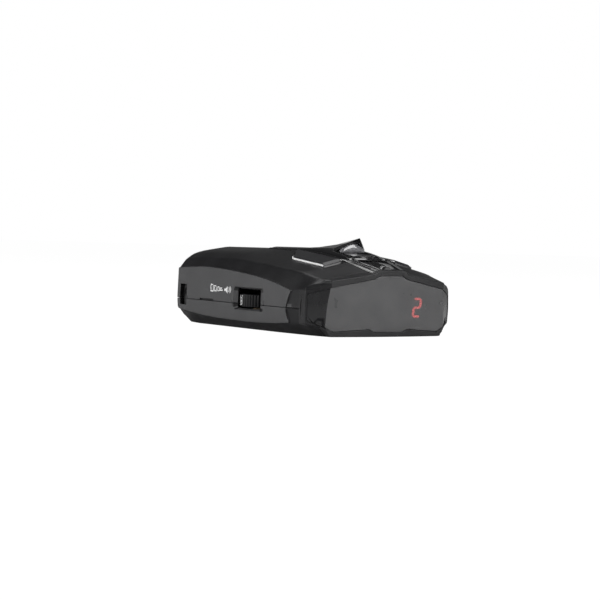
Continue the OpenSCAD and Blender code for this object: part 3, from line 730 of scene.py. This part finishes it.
def outer_body():
    """Both housings as one hollow body, before it is parted at the seam."""
    body = body_solid(0, core_half)
    for side in (-1, 1):
        combine(body, raised_pad(side), "UNION")
    combine(body, body_solid(WALL, core_half, name="cavity"))
    slot_low, slot_high = (-11, REAR_Y - 16, 30), (11, REAR_Y + 2, 32.8)
    ring_low, ring_high = (-13.5, REAR_Y - 18, 28.4), (13.5, REAR_Y - 1, 33)
    combine(body, block(ring_low, ring_high), "UNION")
    lens_low, lens_high = node_box("windshield_lens")
    cutters = [
        ahead_of(NOSE_BACK),
        block((-BODY_HALF - 1, 44, 8), (-BODY_HALF + WALL + 1, 49.6, 17)),
        block(slot_low, slot_high),
        block((-3, REAR_Y - 6, 31), (3, REAR_Y - 3, 40)),
        block((lens_low.x + 1, 50, lens_low.z + 1), (lens_high.x - 1, 60, lens_high.z - 1)),
        block((-20, 4, -1), (20, 28, 0.32)),
        prism(ring_points(SENSOR_SPOT, SENSOR_BORE_R), "Z", 28, 40),
    ]
    for tool in cutters + cheek_blocks() + speaker_slot_cutters():
        combine(body, tool)
    combine(body, rear_slant())
    combine(body, wheel_cutter())
    combine(body, rotor_cutter())
    for outline in (BUTTON_PLAN, mirrored(BUTTON_PLAN)):
        combine(body, prism(rounded(grown(outline, BUTTON_GAP), 0.6), "Z", 20, 40))
    for side in (-1, 1):
        combine(body, cheek_groove(side, -41.4))
    for x, y in screw_spots():
        combine(body, prism(ring_points((x, y), 2.4), "Z", -1, 3.2))
    return body


def paint_pads(shell):
    """The raised side panels take a lighter copy of the housing plastic: painted light that stands in for the
    side light falling on them.
    """
    shell.data.materials.append(PAINTED_LIGHT_PANEL)
    for face in shell.data.polygons:
        centre = face.center / MM
        if centre.y > PAD_FRONT - 0.2 and abs(centre.x) > core_half(centre.y) - 0.1:
            if panel_low(centre.y) < centre.z < panel_high(centre.y) + 0.3:
                face.material_index = 1


def build_shells():
    body = outer_body()
    parting = 0.09
    lower = copy_of(body, "lower_shell")
    upper = body
    upper.name = "upper_shell"
    combine(upper, block((-FAR, -FAR, UNDER), (FAR, FAR, SEAM_Z + parting)))
    combine(lower, block((-FAR, -FAR, SEAM_Z - parting), (FAR, FAR, FAR)))
    combine(upper, block((-BODY_HALF - 1, 21.6, SEAM_Z - 1), (-BODY_HALF + 0.9, 32.6, SEAM_Z + 0.8)))
    for shell, slot, node in ((upper, "housing_upper", "top_housing"),
                              (lower, "housing_lower", "bottom_housing")):
        shell.data.materials.clear()
        shell.data.materials.append(MATERIALS[slot])
        paint_pads(shell)
        soften(shell, 0.14, 2, 34)
        dress(shell, slot, replaces=(node,))


# ------------------------------------------------------------------ display face
WINDOW_HALF = [(6.9, 1.95), (9.5, 3.1), (26.1, 2.05), (35.7, 6.2), (35.7, 16.6), (27.8, 19.3), (8.5, 22.85),
               (5.3, 24.3)]


def window_prism(grow, rear):
    outline = grown(WINDOW_HALF + mirrored(WINDOW_HALF), grow)
    return prism(outline, "Y", -FAR, rear)


def crest_ring(y, z, lift):
    half, top, base = spine_half(y), crest_half(y), spine_base_z(y) + lift
    rise = z - base
    right = [
        (half, base), (half, base + 0.25 * rise), (half - 0.9, base + 0.55 * rise),
        (half - 1.2, base + 0.38 * rise), (half - 1.6, base + 0.38 * rise), (half - 1.9, base + 0.62 * rise),
        (top + 0.8, base + 0.86 * rise), (top, z),
        (top - 1.5, z), (top - 1.7, z - 0.3), (top - 2.1, z - 0.3), (top - 2.3, z),
    ]
    radii = [0, 0.2, 0.2, 0, 0, 0.1, 0.2, 0.3, 0.1, 0, 0, 0.1]
    return fillet(right + mirrored(right), radii + radii[::-1], 2)


def plain_crest_ring(y, lift):
    right = [(spine_half(y), spine_base_z(y) + lift), (crest_half(y), crest_front_z(y))]
    return right + mirrored(right)


def build_bezel():
    bezel = nose_solid(0)
    levels = [-56, -54, -52.4]
    hump = loft("hump", levels, [plain_crest_ring(y, -0.5) for y in levels])
    combine(hump, behind_face(0), "INTERSECT")
    combine(bezel, hump, "UNION")
    keep = join(cheek_blocks(), "keep")
    combine(keep, ahead_of(NOSE_BACK - 0.06), "UNION")
    combine(bezel, keep, "INTERSECT")
    hollow = combine(nose_solid(WALL), ahead_of(FRONT_Y + WALL + 1))
    combine(bezel, hollow)
    recess = combine(window_prism(0.12, CHEEK_BACK - 2.2), nose_solid(WINDOW_INSET + WINDOW_THICK))
    combine(bezel, recess)
    opening = rounded(box_outline((-24, 4.6), (24, 17.6)), 1.0)
    combine(bezel, prism(opening, "Y", -FAR, -48))
    for side in (-1, 1):
        combine(bezel, cheek_groove(side, -44.3))
    soften(bezel, 0.16, 2, 30)
    dress(bezel, "bezel", replaces=("display_bezel",))


def build_window():
    window = combine(nose_solid(WINDOW_INSET), window_prism(0, CHEEK_BACK - 2.3), "INTERSECT")
    combine(window, nose_solid(WINDOW_INSET + WINDOW_THICK))
    window.name = "smoked_window"
    window.data.materials.clear()
    window.data.materials.append(MATERIALS["smoked_window"])
    window.data.materials.append(WING)
    for face in window.data.polygons:
        if abs(face.normal.x) > 0.5:
            face.material_index = 1
    soften(window, 0.12, 2, 24)
    dress(window, "smoked_window", replaces=("display_window",))


def segment_outline(long, thin):
    return [(-thin, -long), (0, -long - thin), (thin, -long), (thin, long), (0, long + thin), (-thin, long)]


# Bars of a seven-segment figure, as (across, up, upright): the display shows 2 and the wheel is marked 3.
LIT_BARS = [(0, 0.54, False), (0.25, 0.27, True), (0, 0, False), (-0.25, -0.27, True), (0, -0.54, False)]
WHEEL_BARS = [(0, 0.5, False), (0.28, 0.25, True), (0, 0, False), (0.28, -0.25, True), (0, -0.5, False)]
DIGIT_LEAN = 0.1
DIGIT_X = 16.5


def digit_bars(bars, height, lean, bar_long=0.205, bar_thin=0.078):
    """Flat outlines of seven-segment bars, as lists of (across, up) points."""
    outlines = []
    for across, up, upright in bars:
        outline = segment_outline(bar_long * height, bar_thin * height)
        if not upright:
            outline = [(b * 0.9, -a * 0.9) for a, b in outline]
        outlines.append([(height * (across + lean * up) + a + lean * b, height * up + b) for a, b in outline])
    return outlines


def build_digit():
    low, high = node_box("digit_segments")
    height = (high.z - low.z) / 1.24
    centre_z = (low.z + high.z) / 2
    bars = []
    for outline in digit_bars(LIT_BARS, height, DIGIT_LEAN):
        shifted = [(DIGIT_X + a, centre_z + b) for a, b in outline]
        bars.append(prism(rounded(shifted, 0.12, 2), "Y", low.y, high.y))
    digit = join(bars, "lit_digit")
    soften(digit, 0.05, 1)
    dress(digit, "lit_segment", replaces=("digit_segments",))


# ------------------------------------------------------------------ spine, hood and lenses
TRIM_FRONT, TRIM_REAR = -52.4, 16.0
HOOD_PEAK = (0, -31.6, 39.2)


def hood_solid(grow=0.0):
    """The visor: two feet, a peaked lip that leans forward, and a low tail."""
    foot_x, foot_y, tail_x, tail_y, base = 8 + grow, -24.4, 8.6 + grow, -9, 33
    lip = [(-foot_x, foot_y, 34.5), (-foot_x * 0.5, (foot_y + HOOD_PEAK[1]) / 2, 37.0), HOOD_PEAK,
           (foot_x * 0.5, (foot_y + HOOD_PEAK[1]) / 2, 37.0), (foot_x, foot_y, 34.5)]
    tail = [(-tail_x, tail_y, 34.7), (-tail_x * 0.5, tail_y, 34.95), (0, tail_y, 35.05),
            (tail_x * 0.5, tail_y, 34.95), (tail_x, tail_y, 34.7)]
    feet = [(x, y, base) for reach, y in ((foot_x, foot_y), (tail_x, tail_y)) for x in (-reach, reach)]
    faces = [(i, i + 1, i + 6, i + 5) for i in range(4)]
    faces += [(0, 1, 10), (1, 2, 10), (2, 11, 10), (2, 3, 11), (3, 4, 11)]
    faces += [(0, 5, 12, 10), (4, 9, 13, 11), (5, 6, 7, 8, 9, 13, 12), (10, 11, 13, 12)]
    return make_object("hood", lip + tail + feet, faces)


def throat_outline(grow):
    half = [(6.3 + grow, 33.0), (5.7 + grow, 34.6), (3.4 + grow, 36.1 + grow), (1.2, 37.3 + grow)]
    return half + mirrored(half)


def build_spine():
    levels = [TRIM_FRONT, -49, -45, -41.5, *CREST_STEP] + [-34 + 3.4 * i for i in range(15)] + [TRIM_REAR]
    heights = [crest_front_z(y) if y <= CREST_STEP[0] else crest_rear_z(y) for y in levels]
    trim = loft("spine_trim_gloss", levels, [crest_ring(y, z, 0.02) for y, z in zip(levels, heights)])
    combine(trim, hood_solid(0.15))
    combine(trim, prism(ring_points(SENSOR_SPOT, SENSOR_BORE_R), "Z", 20, 40))
    mark = [(4.0, -34.6), (6.6, -33.9), (5.6, -31.4)]
    for outline in (mark, mirrored(mark)):
        combine(trim, prism(outline, "Z", 30.9, 40))
    soften(trim, 0.10, 2, 26)
    dress(trim, "gloss_trim", replaces=("spine_trim",))


def build_hood():
    hood = hood_solid()
    combine(hood, prism(rounded(throat_outline(0), 0.5), "Y", -36, -25.6))
    combine(hood, prism(ring_points(SENSOR_SPOT, SENSOR_BORE_R), "Z", 30, 35.5))
    combine(hood, block((-2, -26, 33.6), (2, -19.5, 35.6)))
    hood.name = "laser_visor"
    soften(hood, 0.22, 3, 24)
    dress(hood, "gloss_trim", replaces=("laser_hood",))


def build_hood_lens():
    """A bulged lens that fills the throat of the visor."""
    outline = rounded(throat_outline(-0.06), 0.5, 3)
    rows, centre_z, back_y, rim_y, bulge = 5, 35.0, -25.63, -26.9, 0.9
    rings = [[(p[0], back_y, p[1]) for p in outline]]
    for row in range(rows):
        turn = 0.5 * math.pi * row / rows
        shrink, y = math.cos(turn), rim_y - bulge * math.sin(turn)
        rings.append([(p[0] * shrink, y, centre_z + (p[1] - centre_z) * shrink) for p in outline])
    lens = smooth_by_angle(stack("visor_lens", rings), 40)
    dress(lens, "eye_lens", replaces=("hood_lens",))


def build_windshield_lens():
    low, high = node_box("windshield_lens")
    rim = 1.1
    flange = prism(rounded(box_outline((low.x, low.z), (high.x, high.z)), 0.8), "Y", low.y, low.y + 1)
    inset = box_outline((low.x + rim, low.z + rim), (high.x - rim, high.z - rim))
    face = prism(rounded(inset, 0.7), "Y", low.y + 0.5, high.y)
    lens = combine(flange, face, "UNION")
    lens.name = "windshield_eye"
    soften(lens, 0.25, 3)
    dress(lens, "laser_lens", replaces=("windshield_lens",))


# ------------------------------------------------------------------ buttons
DECK_CORNER = (-22.5, -38, 27.1)
DECK_SLOPE = (0.245, 0.11)


def deck_plane_z(x, y):
    """Height of the sloping deck around the left button."""
    return DECK_CORNER[2] + DECK_SLOPE[0] * (x - DECK_CORNER[0]) + DECK_SLOPE[1] * (y - DECK_CORNER[1])


def sloped_ring(outline, level):
    return [(x, y, deck_plane_z(x, y) + level) for x, y in outline]


def sloped(outline, low, high):
    """Solid over a plan outline between two heights measured from the sloping deck."""
    return stack("sloped", [sloped_ring(outline, level) for level in (low, high)])


def button_cap():
    """Key with a bevelled rim, a deeper bevel at its front, a retaining flange and a stem."""
    low = node_box("left_button")[0]
    front_cut = [(-22.0, -36.5), (-14.0, -36.5), (-14.0, -7.0), (-22.0, -16.4)]
    layers = [(BUTTON_PLAN, -3.4), (BUTTON_PLAN, 0.15), (grown(BUTTON_PLAN, -0.12), 0.45), (front_cut, 1.35)]
    cap = stack("cap", [sloped_ring(rounded(plan, 0.5), level) for plan, level in layers])
    flange = sloped(grown(BUTTON_PLAN, 1.0), -4.2, -3.2)
    stem = prism(ring_points((-17.8, -26), 1.8), "Z", low.z, low.z + 2.8)
    combine(cap, flange, "UNION")
    return combine(cap, stem, "UNION")


def strip_along(path, width, low, high):
    """Thin raised line on the deck that follows plan points."""
    left, right = [], []
    for i, point in enumerate(path):
        ahead = Vector(path[min(i + 1, len(path) - 1)]) - Vector(path[max(i - 1, 0)])
        across = Vector((-ahead.y, ahead.x)).normalized() * width / 2
        left.append(tuple(Vector(point) + across))
        right.append(tuple(Vector(point) - across))
    return sloped(left + right[::-1], low, high)


def build_buttons():
    for side, name in ((-1, "left"), (1, "right")):
        cap = button_cap()
        # Painted highlights: the white strips along the key's outer edge, its front corner and its inner
        # corner stand in for light caught on those edges.
        outer = strip_along([(-20.8, -13.9), (-21.8, -15.0), (-22.35, -16.0), (-22.52, -17.0), (-22.52, -27),
                             (-22.52, -37.6)], 0.36, 0.2, 0.85)
        hook = strip_along([(-20.4, -14.6), (-21.2, -15.4), (-21.5, -16.6)], 0.3, 0.7, 1.02)
        corner = strip_along([(-14.1, -34.0), (-13.55, -36.0), (-13.5, -37.5)], 0.3, 0.4, 0.8)
        pieces = [(cap, "cap"), (outer, "edge_highlight"), (hook, "corner_highlight"), (corner, "inner_highlight")]
        for piece, label in pieces:
            if side == 1:
                piece.data.transform(Matrix.Scale(-1, 4, (1, 0, 0)))
                piece.data.flip_normals()
            piece.name = f"{name}_button_{label}"
            if label == "cap":
                soften(piece, 0.18, 2, 24)
                dress(piece, "button_plastic", f"{name}_button", replaces=(f"{name}_button",))
            else:
                soften(piece, 0.06, 2)
                dress(piece, "button_plastic", f"{name}_button", PAINTED_HIGHLIGHT)


# ------------------------------------------------------------------ volume wheel and its marks
RIDGES = 48
RIDGE_DEPTH = 0.45
RIM_PLAY = 0.02
SMOOTH_SECTOR = (138, 172)


def rim_radius(degrees):
    """Rounded finger ridges, except over the smooth marked sector."""
    if SMOOTH_SECTOR[0] <= degrees % 360 <= SMOOTH_SECTOR[1]:
        return WHEEL_R - RIM_PLAY
    phase = degrees * RIDGES / 360 * 2 * math.pi
    return WHEEL_R - RIM_PLAY - RIDGE_DEPTH * (0.5 - 0.5 * math.cos(phase)) ** 1.5


def build_wheel():
    """Ridged rim with bevelled edges, a shallow dish on top, and a bore for the shaft."""
    count = RIDGES * 10
    low, high = WHEEL_LOW.z, WHEEL_HIGH.z
    bore, bevel, bend, dish = 1.5, 0.45, 0.12, 0.7
    ridged = [(-bevel, low), (-bend, low + bend), (0, low + bevel), (0, high - bevel), (-bend, high - bend),
              (-bevel, high)]
    plain = [(-2.0, high), (-2.1, high - dish), (-8.0, high - dish), (-8.1, high)]
    verts, faces = [], []
    for i in range(count):
        degrees = 360 * i / count
        direction = Vector((math.cos(math.radians(degrees)), math.sin(math.radians(degrees))))
        section = [(rim_radius(degrees) + inward, z) for inward, z in ridged]
        section += [(WHEEL_R + inward, z) for inward, z in plain]
        section = [(bore, low)] + section + [(bore, high)]
        verts += [(*(WHEEL_CENTRE.xy + direction * r), z) for r, z in section]
    n = len(ridged) + len(plain) + 2
    for i in range(count):
        after = (i + 1) % count
        faces += [(i * n + j, after * n + j, after * n + (j + 1) % n, i * n + (j + 1) % n) for j in range(n)]
    wheel = smooth_by_angle(make_object("thumbwheel", verts, faces), 38)
    dress(wheel, "wheel_rubber", "volume_wheel", replaces=("volume_wheel",))


def on_rim(outline, radius, thick=0.08, sunk=0.05):
    """Print and painted highlight lines that follow the rim: an outline of (degrees, z) points, given a
    little body.
    """
    points = [(math.radians(degrees), z) for degrees, z in outline]
    return stack("rim print and highlight", [[(WHEEL_CENTRE.x + r * math.cos(a), WHEEL_CENTRE.y + r * math.sin(a), z)
                                for a, z in points] for r in (radius - sunk, radius + thick - sunk)])


def build_wheel_marks():
    """A painted highlight line along the top edge and one side of the wheel's smooth sector, and the printed
    number 3 on that sector.
    """
    mid = (WHEEL_LOW.z + WHEEL_HIGH.z) / 2
    top, bottom = WHEEL_HIGH.z - 0.5, WHEEL_LOW.z + 0.5
    # Painted highlight: this white line stands in for light caught on the edges of the smooth sector.
    start, turn, end, width = 152.5, 156.0, 170.5, 0.55
    line = [(start, top), (end, top), (end, top - width), (turn, top - width), (turn, bottom),
            (start, bottom)]
    centre, widen, drop = 163.0, 1.2, 0.3
    degrees_per_mm = math.degrees(1 / WHEEL_R)
    pieces = [on_rim(line, WHEEL_R)]
    for bar in digit_bars(WHEEL_BARS, 2.6, 0.0, 0.20, 0.075):
        placed = [(centre + a * degrees_per_mm * widen, mid - drop + b) for a, b in bar]
        pieces.append(on_rim(placed, WHEEL_R))
    marks = join(pieces, "wheel_print_and_highlight")
    dress(smooth_by_angle(marks), "wheel_rubber", "volume_wheel", PRINT_AND_HIGHLIGHT)


def build_panel_marks():
    """Volume pictogram printed on the side panel: bars that shrink towards the wheel, and a loudspeaker."""
    def printed(outline):
        low, high = -side_half(15) - 0.02, -side_half(15) + 0.5
        return prism(outline, "X", low, high)

    pieces = []
    line, slant, first, foot = 0.42, 0.2, 23.6, 14.7
    for start, width, height in ((23.6, 2.3, 3.2), (20.7, 2.0, 2.6), (18.1, 1.8, 2.0), (15.8, 1.6, 1.5)):
        base = foot + 0.06 * (first - start)
        top = foot + height + 0.06 * (first - start)
        near = start - width
        pieces += [
            printed([(start, base), (start, top), (start - line, top), (start - line, base)]),
            printed([(near, base), (near, top - slant), (near + line, top - slant), (near + line, base)]),
            printed([(start - line, top), (near, top - slant), (near, top - slant - line),
                     (start - line, top - line)]),
            printed([(start - line, base), (near + line, base), (near + line, base + line),
                     (start - line, base + line)]),
        ]
    horn = [(12.7, 15.4), (11.7, 15.4), (10.2, 14.3), (10.2, 17.4), (11.7, 16.3), (12.7, 16.3)]
    pieces.append(printed(horn))
    turns = [math.radians(a) for a in range(-50, 51, 10)]
    for reach in (1.0, 2.1):
        arc = [(9.7 - reach * math.cos(t), 16.05 + (0.9 + reach * 0.45) * math.sin(t)) for t in turns]
        inner = [(a + line, z) for a, z in reversed(arc)]
        pieces.append(printed(arc + inner))
    marks = join(pieces, "volume_pictogram")
    dress(smooth_by_angle(marks), "housing_upper", "body", PRINT_AND_HIGHLIGHT)


# ------------------------------------------------------------------ label and inner pieces
def build_label():
    low, high = node_box("rating_plate")
    edge = 0.2
    outline = rounded(box_outline((low.x + edge, low.y + edge), (high.x - edge, high.y - edge)), 1.5, 6)
    label = prism(outline, "Z", 0.02, 0.3, "blank_label")
    soften(label, 0.06, 2)
    dress(label, "label_film", replaces=("rating_plate",))
    frame_outer, frame_inner = grown(outline, -1.2), grown(outline, -1.5)
    border = combine(prism(frame_outer, "Z", 0.0, 0.1), prism(frame_inner, "Z", -1, 1))
    border.name = "label_border"
    dress(border, "label_film", material=DARK_PRINT)


def finish_cad_nodes():
    """Every CAD node that still shows gets its slot's material and softened edges."""
    slots = {part["node"]: part["material_slot"] for part in frame["record"]["subparts"]}
    for name, node in frame["nodes"].items():
        node.data.materials.clear()
        node.data.materials.append(MATERIALS[slots[name]])
        bevel = node.modifiers.new("edge", "BEVEL")
        bevel.width = 0.06 * MM
        bevel.segments = 2
        bevel.limit_method = "ANGLE"
        bevel.angle_limit = math.radians(40)


def build_floor():
    reach, thick = 8, 0.02
    floor = prism(box_outline((-reach, -reach), (reach, reach)), "Z", -thick, 0.0, "floor")
    floor.data.transform(Matrix.Scale(1 / MM, 4))
    s = Surface("studio floor", (0.62, 0.62, 0.62), 0.8)
    s.vary(s.texture("Noise", 0.01), 0.01)
    seen = s.nodes.new("ShaderNodeLightPath")
    lit = s.nodes.new("ShaderNodeEmission")
    lit.inputs["Strength"].default_value = 1.12
    amount = s.remap(seen.outputs["Is Camera Ray"], 0.0, 0.88, 0.0, 1.0)
    mix = s.nodes.new("ShaderNodeMixShader")
    s.links.new(amount, mix.inputs[0])
    s.links.new(s.shader.outputs[0], mix.inputs[1])
    s.links.new(lit.outputs[0], mix.inputs[2])
    s.links.new(mix.outputs[0], s.nodes["Material Output"].inputs["Surface"])
    floor.data.materials.append(s.material)


finish_cad_nodes()
build_shells()
build_bezel()
build_window()
build_digit()
build_spine()
build_hood()
build_hood_lens()
build_windshield_lens()
build_buttons()
build_wheel()
build_wheel_marks()
build_panel_marks()
build_label()
build_floor()
